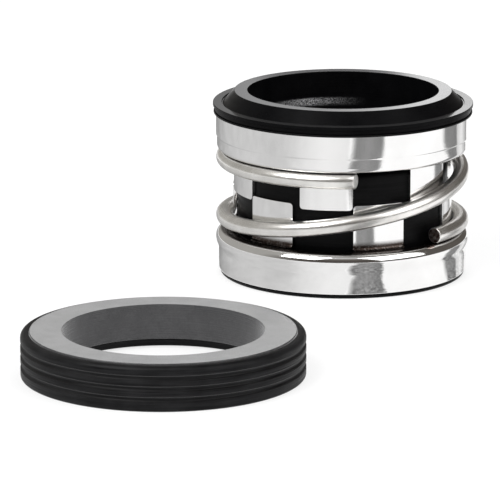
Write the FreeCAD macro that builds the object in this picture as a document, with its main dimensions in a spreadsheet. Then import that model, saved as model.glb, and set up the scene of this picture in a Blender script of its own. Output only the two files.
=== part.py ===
import FreeCAD, Part
import math
import os
import re

import Sketcher

# Driving dimensions in millimetres and degrees.
# Angles run from the +X side towards -Y, the side that is seen first.
SIZES = [
    # Shaft and overall
    ("shaft_dia", 40.0),
    ("free_length", 40.8),
    ("face_travel", 6.0),
    ("rubber_gap", 0.1),
    ("edge_break", 0.3),
    # Rotating seal ring
    ("ring_clearance", 1.05),
    ("nose_width", 2.9),
    ("nose_height", 2.55),
    ("shoulder_width", 2.45),
    ("flange_stand", 0.7),
    ("flange_thick", 1.75),
    ("flange_land", 0.7),
    ("flange_relief", 0.4),
    ("spigot_length", 5.4),
    # Pressed shells and their tabs
    ("shell_wall", 0.9),
    ("bend_inside", 0.3),
    ("retainer_step", 0.2),
    ("retainer_step_length", 3.3),
    ("band_length", 9.0),
    ("bead_length", 2.9),
    ("bead_swell", 0.6),
    ("bead_round", 0.6),
    ("tab_count", 6),
    ("tab_first_angle", 39.85),
    ("tab_play_angle", 2.2),
    ("tab_lean_angle", 1.9),
    ("tab_corner", 0.75),
    ("retainer_tab_spare", 2.9),
    ("band_tab_spare", 1.75),
    # Rubber bellows
    ("tail_grip", 0.3),
    ("tail_stand", 1.0),
    ("tail_length", 11.4),
    ("tail_rim_inset", 0.3),
    ("rubber_round", 0.5),
    ("neck_clearance", 0.7),
    ("neck_wall", 1.0),
    ("neck_length", 2.0),
    ("fold_gap", 0.4),
    ("barrel_wall", 1.1),
    ("barrel_gap", 0.1),
    ("barrel_round", 1.1),
    ("head_wall", 1.9),
    ("head_floor", 2.25),
    ("lip_inset", 0.15),
    ("lip_thick", 0.4),
    # Coil spring
    ("wire_dia", 3.5),
    ("coil_gap", 0.3),
    ("coil_seat_gap", 0.1),
    ("coil_start_angle", 85.0),
    ("coil_sweep_angle", 676.5),
    ("coil_open_angle", 290.0),
    ("coil_opened_angle", 531.0),
    ("coil_close_angle", 476.0),
    ("coil_closed_angle", 740.0),
    ("coil_close_share", 0.08),
    # Stationary seat, which lies apart from the head
    ("seat_left", 38.0),
    ("seat_ahead", 89.0),
    ("seat_clearance", 0.5),
    ("seat_width", 6.6),
    ("seat_length", 7.4),
    ("cup_fit", 0.05),
    ("cup_wall", 1.75),
    ("cup_floor", 1.95),
    ("cup_floor_step", 2.0),
    ("cup_foot_round", 0.5),
    ("cup_lip_round", 1.1),
    ("face_stand", 0.3),
    ("groove_round", 0.55),
    ("groove_from_foot", 2.5),
    ("groove_from_rim", 2.3),
    ("groove_count", 3),
]

# Radii and levels that follow, from the shaft outwards and along the axis.
DERIVED = {
    # Radii of the head
    "tail_bore_radius": "(shaft_dia - tail_grip) / 2",
    "ring_bore_radius": "shaft_dia / 2 + ring_clearance",
    "neck_inner_radius": "shaft_dia / 2 + neck_clearance",
    "neck_radius": "neck_inner_radius + neck_wall",
    "barrel_inner_radius": "neck_radius + fold_gap",
    "barrel_radius": "barrel_inner_radius + barrel_wall",
    "tab_inner_radius": "barrel_radius + barrel_gap",
    "tab_radius": "tab_inner_radius + shell_wall",
    "coil_radius": "tab_radius + coil_gap + wire_dia / 2",
    "shell_radius": "coil_radius + wire_dia / 2",
    "shell_inner_radius": "shell_radius - shell_wall",
    "stepped_radius": "shell_radius - retainer_step",
    "band_radius": "shell_radius - bead_swell",
    "band_inner_radius": "band_radius - shell_wall",
    "tail_rim_radius": "band_radius - tail_rim_inset",
    "collar_radius": "band_inner_radius - rubber_gap",
    "head_radius": "shell_inner_radius - rubber_gap",
    "pocket_radius": "head_radius - head_wall",
    "spigot_radius": "pocket_radius - rubber_gap",
    "flange_radius": "shell_radius + flange_stand",
    "lip_radius": "flange_radius - lip_inset",
    "relief_radius": "flange_radius - flange_relief",
    "nose_foot_radius": "flange_radius - shoulder_width",
    "nose_radius": "ring_bore_radius + nose_width",
    # Levels of the head above the floor
    "shoulder": "free_length - nose_height",
    "land_foot": "shoulder - flange_land",
    "flange_back": "shoulder - flange_thick",
    "ring_back": "flange_back - spigot_length",
    "lip_top": "flange_back - rubber_gap",
    "lip_foot": "lip_top - lip_thick",
    "retainer_front": "lip_foot - rubber_gap",
    "pocket_floor": "ring_back - rubber_gap",
    "head_back": "pocket_floor - head_floor",
    "retainer_wall_top": "head_back - rubber_gap",
    "retainer_back": "retainer_wall_top - shell_wall",
    "step_top": "retainer_back + retainer_step_length",
    "barrel_top": "head_back - neck_length",
    "fold_top": "barrel_top - barrel_wall",
    "fold_foot": "tail_length + barrel_inner_radius - tail_bore_radius",
    "band_front": "tail_stand + band_length",
    "band_wall_foot": "band_front - shell_wall",
    "bead_foot": "band_front - bead_length",
    "swell_foot": "bead_foot - bead_swell",
    "collar_top": "band_wall_foot - rubber_gap",
    "collar_foot": "tail_stand - rubber_gap",
    # Tabs, which leave each other room for the travel of the face
    "tab_room": "retainer_back - band_front - face_travel",
    "retainer_tab_end": "retainer_back - tab_room + retainer_tab_spare",
    "band_tab_end": "band_front + tab_room - band_tab_spare",
    "tab_pitch_angle": "360 / tab_count",
    "slot_half_angle": "(tab_pitch_angle / 2 + tab_play_angle) / 2",
    "retainer_slot_angle": "tab_first_angle + tab_pitch_angle / 2",
    "band_slot_angle": "tab_first_angle + tab_lean_angle",
    # Seat
    "seat_bore_radius": "shaft_dia / 2 + seat_clearance",
    "seat_radius": "seat_bore_radius + seat_width",
    "cup_inner_radius": "seat_radius + cup_fit",
    "cup_radius": "cup_inner_radius + cup_wall",
    "cup_floor_bore_radius": "seat_bore_radius + cup_floor_step",
    "seat_foot": "cup_floor + cup_fit",
    "seat_face": "seat_foot + seat_length",
    "cup_rim": "seat_face - face_stand",
    "groove_rise": "cup_rim - groove_from_rim - groove_from_foot",
}

COIL_STEP_DEG = 12.0
SLOT_MARGIN = 1.25
TOUCH = 1e-4


def add_sheet(doc):
    """Write the driving dimensions into a spreadsheet with one alias each."""
    sheet = doc.addObject("Spreadsheet::Sheet", "Sizes")
    for row, (alias, value) in enumerate(SIZES, start=1):
        sheet.set(f"A{row}", alias)
        sheet.set(f"B{row}", str(value))
        sheet.setAlias(f"B{row}", alias)
    doc.recompute()


def bound(text):
    """Turn a formula in size names into one that reads the spreadsheet."""
    aliases = {alias for alias, _ in SIZES}

    def spelled_out(word):
        name = word[0]
        if name in DERIVED:
            return f"({bound(DERIVED[name])})"
        return f"Sizes.{name}" if name in aliases else name

    return re.sub(r"[a-z_]+", spelled_out, text)


def value_of(doc, text):
    """Value of a formula in size names, as a plain number."""
    found = doc.Sizes.evalExpression(bound(text))
    return float(getattr(found, "Value", found))


def origin_feature(body, role):
    """Plane or axis of a body's own origin."""
    for feature in body.Origin.OriginFeatures:
        if feature.Role == role:
            return feature
    raise ValueError(role)


def new_body(doc, name):
    """Body whose label names its file."""
    body = doc.addObject("PartDesign::Body", name)
    body.Label = name
    return body


def flat_sketch(body, name, plane):
    """Empty sketch on one of the body's own planes."""
    sketch = body.newObject("Sketcher::SketchObject", name)
    sketch.AttachmentSupport = [(origin_feature(body, plane), "")]
    sketch.MapMode = "FlatFace"
    return sketch


def hold(sketch, constraint, text):
    """Add a constraint whose size is bound to a formula."""
    place = sketch.addConstraint(constraint)
    sketch.setExpression(f"Constraints[{place}]", bound(text))


def section_sketch(body, name, corners, plane="XZ_Plane"):
    """Closed outline of straight sides whose corners are bound to the spreadsheet."""
    doc = body.Document
    sketch = flat_sketch(body, name, plane)
    points = [FreeCAD.Vector(value_of(doc, across), value_of(doc, up), 0) for across, up in corners]
    for index, point in enumerate(points):
        sketch.addGeometry(Part.LineSegment(point, points[(index + 1) % len(points)]), False)
    for index in range(len(points)):
        following = (index + 1) % len(points)
        sketch.addConstraint(Sketcher.Constraint("Coincident", index, 2, following, 1))
    for index, (across, up) in enumerate(corners):
        hold(sketch, Sketcher.Constraint("DistanceX", -1, 1, index, 1, points[index].x), across)
        hold(sketch, Sketcher.Constraint("DistanceY", -1, 1, index, 1, points[index].y), up)
    return sketch


def revolve(body, name, corners):
    """Turn an outline round the body's own vertical axis."""
    turned = body.newObject("PartDesign::Revolution", f"{name}_turned")
    turned.Profile = section_sketch(body, f"{name}_section", corners)
    turned.ReferenceAxis = (origin_feature(body, "Z_Axis"), [""])
    turned.Angle = 360.0
    body.Document.recompute()
    return turned


def rims(shape, radius, level):
    """Names of the full or part circles about the axis with this radius and level."""
    names = []
    for number, edge in enumerate(shape.Edges, start=1):
        curve = edge.Curve
        if not isinstance(curve, Part.Circle):
            continue
        on_axis = math.hypot(curve.Center.x, curve.Center.y) < TOUCH
        if on_axis and abs(curve.Radius - radius) < TOUCH and abs(curve.Center.z - level) < TOUCH:
            names.append(f"Edge{number}")
    if not names:
        raise ValueError(f"no rim of radius {radius:.3f} at {level:.3f}")
    return names


def treat_rims(body, base, kind, name, size, places):
    """Round or chamfer circular edges, each given as a radius and a level."""
    doc = body.Document
    names = []
    for radius, level in places:
        names += rims(base.Shape, value_of(doc, radius), value_of(doc, level))
    treated = body.newObject(f"PartDesign::{kind}", name)
    treated.Base = (base, names)
    treated.setExpression("Radius" if kind == "Fillet" else "Size", bound(size))
    doc.recompute()
    return treated


def repeat(body, feature, kind, name, **settings):
    """Pattern of one feature, with its sizes bound to formulas."""
    row = body.newObject(f"PartDesign::{kind}", name)
    row.Originals = [feature]
    for key, value in settings.items():
        if isinstance(value, str):
            row.setExpression(key, bound(value))
        else:
            setattr(row, key, value)
    body.Tip = row
    body.Document.recompute()
    return row


def cut_tab_slots(body, base, root, free_end):
    """Cut the gaps between tabs, one of them astride +X, then round the tabs' free corners."""
    doc = body.Document
    name = body.Label
    near = f"(tab_inner_radius - {SLOT_MARGIN})"
    far = f"((tab_radius + {SLOT_MARGIN}) / cos(slot_half_angle))"
    sketch = section_sketch(body, f"{name}_slot_outline", [
        (f"{near} * cos(slot_half_angle)", f"-{near} * sin(slot_half_angle)"),
        (f"{far} * cos(slot_half_angle)", f"-{far} * sin(slot_half_angle)"),
        (f"{far} * cos(slot_half_angle)", f"{far} * sin(slot_half_angle)"),
        (f"{near} * cos(slot_half_angle)", f"{near} * sin(slot_half_angle)"),
    ], "XY_Plane")
    sketch.setExpression("AttachmentOffset.Base.z", bound(root))
    doc.recompute()
    slot = body.newObject("PartDesign::Pocket", f"{name}_slot")
    slot.Profile = sketch
    slot.Type = 0
    slot.Reversed = value_of(doc, free_end) > value_of(doc, root)
    slot.setExpression("Length", bound(f"abs({free_end} - {root}) + {SLOT_MARGIN}"))
    doc.recompute()
    slots = repeat(body, slot, "PolarPattern", f"{name}_slots",
                   Axis=(origin_feature(body, "Z_Axis"), [""]), Angle=360.0, Occurrences="tab_count")
    if slots.Shape.Volume > base.Shape.Volume - TOUCH:
        raise ValueError(f"{name}: the slots cut nothing")
    level = value_of(doc, free_end)
    corners = []
    for number, edge in enumerate(slots.Shape.Edges, start=1):
        heights = [vertex.Point.z for vertex in edge.Vertexes]
        if isinstance(edge.Curve, Part.Line) and all(abs(z - level) < TOUCH for z in heights):
            corners.append(f"Edge{number}")
    rounded = body.newObject("PartDesign::Fillet", f"{name}_tab_corners")
    rounded.Base = (slots, corners)
    rounded.setExpression("Radius", bound("tab_corner"))
    doc.recompute()


def turn_shell(body, slot_angle):
    """Turn a shell about its axis until the gap astride +X has come to its own angle."""
    body.Placement = FreeCAD.Placement(FreeCAD.Vector(), FreeCAD.Rotation(FreeCAD.Vector(0, 0, 1), 0))
    body.setExpression("Placement.Rotation.Angle", bound(f"-({slot_angle})"))


def build_primary_ring(doc):
    """Rotating ring: lapped nose, cone, flange and the spigot that the rubber holds."""
    body = new_body(doc, "primary_ring")
    turned = revolve(body, "ring", [
        ("ring_bore_radius", "ring_back"),
        ("spigot_radius", "ring_back"),
        ("spigot_radius", "flange_back"),
        ("relief_radius", "flange_back"),
        ("relief_radius", "land_foot"),
        ("flange_radius", "land_foot"),
        ("flange_radius", "shoulder"),
        ("nose_foot_radius", "shoulder"),
        ("nose_radius", "free_length"),
        ("ring_bore_radius", "free_length"),
    ])
    treat_rims(body, turned, "Chamfer", "ring_chamfers", "edge_break", [
        ("ring_bore_radius", "ring_back"),
        ("spigot_radius", "ring_back"),
    ])
    return body


def build_retainer(doc):
    """Front shell: a pressed cup round the rubber, with tabs that reach to the rear."""
    body = new_body(doc, "retainer")
    turned = revolve(body, "retainer", [
        ("shell_radius", "retainer_front"),
        ("shell_radius", "step_top"),
        ("stepped_radius", "step_top - retainer_step"),
        ("stepped_radius", "retainer_back"),
        ("tab_radius", "retainer_back"),
        ("tab_radius", "retainer_tab_end"),
        ("tab_inner_radius", "retainer_tab_end"),
        ("tab_inner_radius", "retainer_wall_top"),
        ("shell_inner_radius", "retainer_wall_top"),
        ("shell_inner_radius", "retainer_front"),
    ])
    outside = treat_rims(body, turned, "Fillet", "retainer_outer_bends", "bend_inside + shell_wall", [
        ("stepped_radius", "retainer_back"),
        ("tab_inner_radius", "retainer_wall_top"),
    ])
    inside = treat_rims(body, outside, "Fillet", "retainer_inner_bends", "bend_inside", [
        ("tab_radius", "retainer_back"),
        ("shell_inner_radius", "retainer_wall_top"),
    ])
    cut_tab_slots(body, inside, "retainer_back", "retainer_tab_end")
    turn_shell(body, "retainer_slot_angle")
    return body


def build_drive_band(doc):
    """Rear shell: a band round the rubber tail, with a beaded edge and tabs that reach forward."""
    body = new_body(doc, "drive_band")
    turned = revolve(body, "band", [
        ("band_radius", "tail_stand"),
        ("band_radius", "swell_foot"),
        ("shell_radius", "bead_foot"),
        ("shell_radius", "band_front"),
        ("tab_radius", "band_front"),
        ("tab_radius", "band_tab_end"),
        ("tab_inner_radius", "band_tab_end"),
        ("tab_inner_radius", "band_wall_foot"),
        ("shell_inner_radius", "band_wall_foot"),
        ("shell_inner_radius", "bead_foot"),
        ("band_inner_radius", "swell_foot"),
        ("band_inner_radius", "tail_stand"),
    ])
    swell = treat_rims(body, turned, "Fillet", "band_swell", "bead_round", [
        ("band_radius", "swell_foot"),
        ("shell_radius", "bead_foot"),
        ("shell_inner_radius", "bead_foot"),
        ("band_inner_radius", "swell_foot"),
    ])
    outside = treat_rims(body, swell, "Fillet", "band_outer_bends", "bend_inside + shell_wall", [
        ("shell_radius", "band_front"),
        ("tab_inner_radius", "band_wall_foot"),
    ])
    inside = treat_rims(body, outside, "Fillet", "band_inner_bends", "bend_inside", [
        ("tab_radius", "band_front"),
        ("shell_inner_radius", "band_wall_foot"),
    ])
    cut_tab_slots(body, inside, "band_front", "band_tab_end")
    turn_shell(body, "band_slot_angle")
    return body


def build_bellows(doc):
    """One rubber piece: tail that grips the shaft, barrel fold, neck, head cup and lip."""
    body = new_body(doc, "bellows")
    moulded = revolve(body, "bellows", [
        ("tail_bore_radius", "0"),
        ("tail_rim_radius", "0"),
        ("tail_rim_radius", "collar_foot"),
        ("collar_radius", "collar_foot"),
        ("collar_radius", "collar_top"),
        ("barrel_radius", "collar_top"),
        ("barrel_radius", "barrel_top"),
        ("neck_radius", "barrel_top"),
        ("neck_radius", "head_back"),
        ("head_radius", "head_back"),
        ("head_radius", "lip_foot"),
        ("lip_radius", "lip_foot"),
        ("lip_radius", "lip_top"),
        ("pocket_radius", "lip_top"),
        ("pocket_radius", "pocket_floor"),
        ("neck_inner_radius", "pocket_floor"),
        ("neck_inner_radius", "fold_top"),
        ("barrel_inner_radius", "fold_top"),
        ("barrel_inner_radius", "fold_foot"),
        ("tail_bore_radius", "tail_length"),
    ])
    shoulder = treat_rims(body, moulded, "Fillet", "barrel_shoulder", "barrel_round", [
        ("barrel_radius", "barrel_top"),
    ])
    treat_rims(body, shoulder, "Fillet", "bellows_rounds", "rubber_round", [
        ("tail_rim_radius", "0"),
        ("head_radius", "head_back"),
        ("neck_radius", "head_back"),
    ])
    return body


def ramp(turned, start, end):
    """Share from 0 to 1 that rises smoothly between two angles."""
    share = min(max((turned - start) / (end - start), 0.0), 1.0)
    return share * share * (3.0 - 2.0 * share)


def build_spring(doc):
    """Coil spring of round wire with both end coils closed on the shells."""
    size = {alias: value_of(doc, alias) for alias, _ in SIZES}
    wire = size["wire_dia"] / 2
    radius = value_of(doc, "coil_radius")
    top = value_of(doc, "retainer_back") - size["coil_seat_gap"] - wire
    foot = value_of(doc, "band_front") + size["coil_seat_gap"] + wire
    steps = round(size["coil_sweep_angle"] / COIL_STEP_DEG)
    points = []
    for step in range(steps + 1):
        turned = size["coil_start_angle"] + size["coil_sweep_angle"] * step / steps
        opening = ramp(turned, size["coil_open_angle"], size["coil_opened_angle"])
        closing = ramp(turned, size["coil_close_angle"], size["coil_closed_angle"])
        share = opening + size["coil_close_share"] * (closing - opening)
        angle = math.radians(turned)
        height = top - (top - foot) * share
        points.append(FreeCAD.Vector(radius * math.cos(angle), -radius * math.sin(angle), height))
    curve = Part.BSplineCurve()
    curve.interpolate(points)
    path = Part.Wire([curve.toShape()])
    circle = Part.Circle(points[0], curve.tangent(curve.FirstParameter)[0], wire)
    section = Part.Wire([circle.toShape()])
    swept = path.makePipeShell([section], True, True)
    expected = math.pi * wire * wire * path.Length
    if abs(swept.Volume - expected) > 0.01 * expected:
        raise ValueError(f"spring volume {swept.Volume:.1f}, expected {expected:.1f}")
    spring = doc.addObject("Part::Feature", "spring")
    spring.Label = "spring"
    spring.Shape = swept
    return spring


def lay_apart(body):
    """Set the seat on the floor to the left of the head and ahead of it."""
    body.setExpression("Placement.Base.x", bound("-seat_left"))
    body.setExpression("Placement.Base.y", bound("-seat_ahead"))


def build_seat_ring(doc):
    """Stationary ring with its lapped face up."""
    body = new_body(doc, "seat_ring")
    turned = revolve(body, "seat", [
        ("seat_bore_radius", "seat_foot"),
        ("seat_radius", "seat_foot"),
        ("seat_radius", "seat_face"),
        ("seat_bore_radius", "seat_face"),
    ])
    treat_rims(body, turned, "Chamfer", "seat_chamfers", "edge_break", [
        ("seat_bore_radius", "seat_foot"),
        ("seat_radius", "seat_foot"),
        ("seat_radius", "seat_face"),
    ])
    lay_apart(body)
    return body


def build_seat_gasket(doc):
    """Rubber cup round the seat ring, with ribs that grip the housing."""
    body = new_body(doc, "seat_gasket")
    moulded = revolve(body, "cup", [
        ("cup_floor_bore_radius", "0"),
        ("cup_radius", "0"),
        ("cup_radius", "cup_rim"),
        ("cup_inner_radius", "cup_rim"),
        ("cup_inner_radius", "cup_floor"),
        ("cup_floor_bore_radius", "cup_floor"),
    ])
    lip = treat_rims(body, moulded, "Fillet", "cup_lip", "cup_lip_round", [("cup_radius", "cup_rim")])
    foot = treat_rims(body, lip, "Fillet", "cup_foot", "cup_foot_round", [("cup_radius", "0")])
    sketch = flat_sketch(body, "groove_section", "XZ_Plane")
    radius = value_of(doc, "groove_round")
    centre = FreeCAD.Vector(value_of(doc, "cup_radius"), value_of(doc, "groove_from_foot"), 0)
    sketch.addGeometry(Part.Circle(centre, FreeCAD.Vector(0, 0, 1), radius), False)
    hold(sketch, Sketcher.Constraint("DistanceX", -1, 1, 0, 3, centre.x), "cup_radius")
    hold(sketch, Sketcher.Constraint("DistanceY", -1, 1, 0, 3, centre.y), "groove_from_foot")
    hold(sketch, Sketcher.Constraint("Radius", 0, radius), "groove_round")
    groove = body.newObject("PartDesign::Groove", "groove")
    groove.Profile = sketch
    groove.ReferenceAxis = (origin_feature(body, "Z_Axis"), [""])
    groove.Angle = 360.0
    doc.recompute()
    if groove.Shape.Volume > foot.Shape.Volume - TOUCH:
        raise ValueError("the groove cut nothing")
    repeat(body, groove, "LinearPattern", "grooves", Direction=(origin_feature(body, "Z_Axis"), [""]),
           Length="groove_rise", Occurrences="groove_count")
    lay_apart(body)
    return body


def check_document(doc, pieces):
    """Stop if any object failed or any piece is not one sound solid."""
    for item in doc.Objects:
        if "Invalid" in item.State or "Error" in item.State:
            raise ValueError(f"{item.Name} failed: {item.State}")
    for piece in pieces:
        shape = piece.Shape
        if shape.isNull() or not shape.isValid() or len(shape.Solids) != 1:
            raise ValueError(f"{piece.Label} is not one sound solid")


def main():
    """Build every piece, check it and write one STEP file each."""
    doc = FreeCAD.newDocument("mechanical_seal")
    add_sheet(doc)
    builders = [build_primary_ring, build_retainer, build_drive_band, build_bellows,
                build_spring, build_seat_ring, build_seat_gasket]
    pieces = [builder(doc) for builder in builders]
    doc.recompute()
    check_document(doc, pieces)
    os.makedirs("parts", exist_ok=True)
    for piece in pieces:
        piece.Shape.exportStep(os.path.join("parts", f"{piece.Label}.step"))
        print(f"{piece.Label}: {piece.Shape.Volume:.1f} cubic mm, {len(piece.Shape.Faces)} faces")


main()
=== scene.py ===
"""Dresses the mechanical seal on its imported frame: turned ring, sprung shells, rubber and seat."""
import logging
import math
from dataclasses import dataclass, replace
from enum import Enum
from typing import Callable, Optional, Sequence

import bpy
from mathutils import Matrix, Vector
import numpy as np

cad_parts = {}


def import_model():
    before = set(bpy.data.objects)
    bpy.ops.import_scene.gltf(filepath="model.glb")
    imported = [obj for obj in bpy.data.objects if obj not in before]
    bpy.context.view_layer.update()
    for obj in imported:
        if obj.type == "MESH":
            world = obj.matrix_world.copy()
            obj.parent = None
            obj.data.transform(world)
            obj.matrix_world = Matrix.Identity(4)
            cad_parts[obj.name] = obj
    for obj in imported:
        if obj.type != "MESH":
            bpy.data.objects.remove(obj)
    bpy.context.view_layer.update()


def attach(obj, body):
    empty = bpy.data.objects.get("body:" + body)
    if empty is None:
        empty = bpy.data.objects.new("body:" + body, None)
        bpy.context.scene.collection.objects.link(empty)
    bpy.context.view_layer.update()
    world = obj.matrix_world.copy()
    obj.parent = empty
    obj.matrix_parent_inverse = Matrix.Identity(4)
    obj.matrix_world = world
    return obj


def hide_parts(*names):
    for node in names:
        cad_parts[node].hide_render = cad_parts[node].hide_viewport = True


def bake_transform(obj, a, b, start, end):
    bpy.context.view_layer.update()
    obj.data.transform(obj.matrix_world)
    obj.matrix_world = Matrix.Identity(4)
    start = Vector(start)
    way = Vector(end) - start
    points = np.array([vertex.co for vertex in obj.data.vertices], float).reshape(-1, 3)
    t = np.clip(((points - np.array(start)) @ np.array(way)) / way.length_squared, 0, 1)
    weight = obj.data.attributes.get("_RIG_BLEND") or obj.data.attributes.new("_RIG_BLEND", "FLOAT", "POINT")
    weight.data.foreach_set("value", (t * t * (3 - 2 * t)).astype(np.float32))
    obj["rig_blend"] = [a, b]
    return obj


log = logging.getLogger("seal")

MM = 0.001
HEAD_CENTRE = (0.0, 0.0)
AXLE = (0.0, 0.0, 1.0)
ORIGIN = (0.0, 0.0, 0.0)
WHITE = (1.0, 1.0, 1.0)
RISING = (0.0, 1.0)
FALLING = (1.0, 0.0)
FULL_TURN = 360.0
STEPS_ROUND = 144
# Metres below which points are merged, or count as being in one place
MERGE = 1e-6
NEAR = 1e-5
# How upright the normal of a level face is at least
FACING_UP = 0.95

# Short names for types; a span is two numbers, a spot is a place on the floor in millimetres
Piece = bpy.types.Object
Material = bpy.types.Material
Socket = bpy.types.NodeSocket
Colour = tuple[float, float, float]
Span = tuple[float, float]
Spot = tuple[float, float]


class Side(Enum):
    """The two bodies that the frame holds."""

    DRIVE = "drive_side"
    FACE = "face_side"


# The modelling bench


@dataclass(frozen=True)
class Corner:
    """One corner of a turned outline, in millimetres.

    Args:
        across: distance from the axle.
        up: height above the floor.
        round: radius that the corner is rounded to, 0 for a sharp one.
        steps: how many flats the rounding has.
    """

    across: float
    up: float
    round: float = 0.0
    steps: int = 4

    def place(self) -> Vector:
        """Where the corner lies, in metres."""
        return Vector((self.across * MM, 0.0, self.up * MM))


class Bench:
    """Modelling moves as they are made by hand, on one open mesh at a time."""

    @staticmethod
    def clear() -> None:
        """Leaves object mode and deselects everything."""
        if bpy.context.object is not None and bpy.context.object.mode != "OBJECT":
            bpy.ops.object.mode_set(mode="OBJECT")
        bpy.ops.object.select_all(action="DESELECT")

    @staticmethod
    def take(piece: Piece) -> None:
        """Makes one piece the only selected and active one, in object mode.

        Args:
            piece: the piece to work on.
        """
        Bench.clear()
        piece.select_set(True)
        bpy.context.view_layer.objects.active = piece

    @staticmethod
    def pick(piece: Piece, wanted: Callable[[Vector], bool]) -> None:
        """Selects the points for which a test is true.

        Args:
            piece: the object in edit mode.
            wanted: test on a point's place in metres.
        """
        bpy.ops.mesh.select_all(action="DESELECT")
        bpy.ops.object.mode_set(mode="OBJECT")
        for point in piece.data.vertices:
            point.select = wanted(point.co)
        bpy.ops.object.mode_set(mode="EDIT")

    @staticmethod
    def trace(name: str, corners: list[Corner], closed: bool) -> Piece:
        """Draws a wire outline corner by corner and rounds its corners.

        Args:
            name: name of the new object.
            corners: the outline's corners in order.
            closed: whether the last corner joins the first.

        Returns:
            The object, in edit mode.
        """
        Bench.clear()
        bpy.ops.mesh.primitive_plane_add(size=MM)
        piece = bpy.context.object
        piece.name = piece.data.name = name
        bpy.ops.object.mode_set(mode="EDIT")
        bpy.ops.mesh.merge(type="CENTER")
        bpy.ops.transform.translate(value=corners[0].place())
        following = corners[1:] + (corners[:1] if closed else [])
        for here, there in zip(corners, following):
            bpy.ops.mesh.extrude_vertices_move(
                TRANSFORM_OT_translate={"value": there.place() - here.place()}
            )
        bpy.ops.mesh.select_all(action="SELECT")
        bpy.ops.mesh.remove_doubles(threshold=MERGE)
        bpy.ops.mesh.select_mode(type="VERT")
        for before, corner, after in zip(corners[-1:] + corners[:-1], corners, corners[1:] + corners[:1]):
            if corner.round > 0.0:
                place = corner.place()
                turn = (place - before.place()).angle(after.place() - place)
                Bench.pick(piece, lambda point: (point - place).length < MERGE)
                bpy.ops.mesh.bevel(
                    offset=corner.round * MM * math.tan(turn / 2),
                    segments=corner.steps,
                    affect="VERTICES",
                )
        bpy.ops.mesh.select_all(action="SELECT")
        return piece

    @staticmethod
    def spin(steps: int, degrees: float, copies: bool = False) -> None:
        """Turns what is selected about the axle, as a swept wall or as copies."""
        bpy.ops.mesh.spin(steps=steps, angle=math.radians(degrees), dupli=copies, center=ORIGIN, axis=AXLE)

    @staticmethod
    def swing(degrees: float) -> None:
        """Turns what is selected about the axle."""
        bpy.ops.transform.rotate(value=math.radians(degrees), orient_axis="Z", center_override=ORIGIN)

    @staticmethod
    def close(piece: Piece) -> None:
        """Merges doubled points and turns every face outwards.

        Args:
            piece: the object in edit mode, which goes back to object mode.
        """
        bpy.ops.mesh.select_all(action="SELECT")
        bpy.ops.mesh.remove_doubles(threshold=MERGE)
        bpy.ops.mesh.normals_make_consistent(inside=False)
        bpy.ops.mesh.select_all(action="DESELECT")
        bpy.ops.object.mode_set(mode="OBJECT")

    @staticmethod
    def move(piece: Piece, place: Spot) -> None:
        """Shifts the whole mesh along the floor.

        Args:
            piece: the object in object mode.
            place: where its axle goes, in millimetres.
        """
        Bench.take(piece)
        bpy.ops.object.mode_set(mode="EDIT")
        bpy.ops.mesh.select_all(action="SELECT")
        bpy.ops.transform.translate(value=(place[0] * MM, place[1] * MM, 0.0))
        bpy.ops.object.mode_set(mode="OBJECT")

    @staticmethod
    def modify(piece: Piece, kind: str, **settings: object) -> None:
        """Adds a modifier and applies it at once.

        Args:
            piece: the object in object mode.
            kind: Blender's word for the modifier.
            settings: its settings.
        """
        Bench.take(piece)
        modifier = piece.modifiers.new(kind.lower(), kind)
        for setting, value in settings.items():
            setattr(modifier, setting, value)
        bpy.ops.object.modifier_apply(modifier=modifier.name)

    @staticmethod
    def smooth(piece: Piece, degrees: float = 32.0) -> None:
        """Smooths the shading and gives flat faces the say over their rounds.

        Args:
            piece: the object in object mode.
            degrees: faces that meet at more than this keep a sharp edge.
        """
        Bench.take(piece)
        bpy.ops.object.shade_smooth_by_angle(angle=math.radians(degrees))
        Bench.modify(piece, "WEIGHTED_NORMAL", keep_sharp=True, weight=60)

    @staticmethod
    def turned(name: str, corners: list[Corner]) -> Piece:
        """Spins a closed outline all the way round.

        Args:
            name: name of the new object.
            corners: the closed outline.

        Returns:
            The closed solid, in object mode.
        """
        piece = Bench.trace(name, corners, closed=True)
        Bench.spin(STEPS_ROUND, FULL_TURN)
        Bench.close(piece)
        return piece


# Finishes


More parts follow.
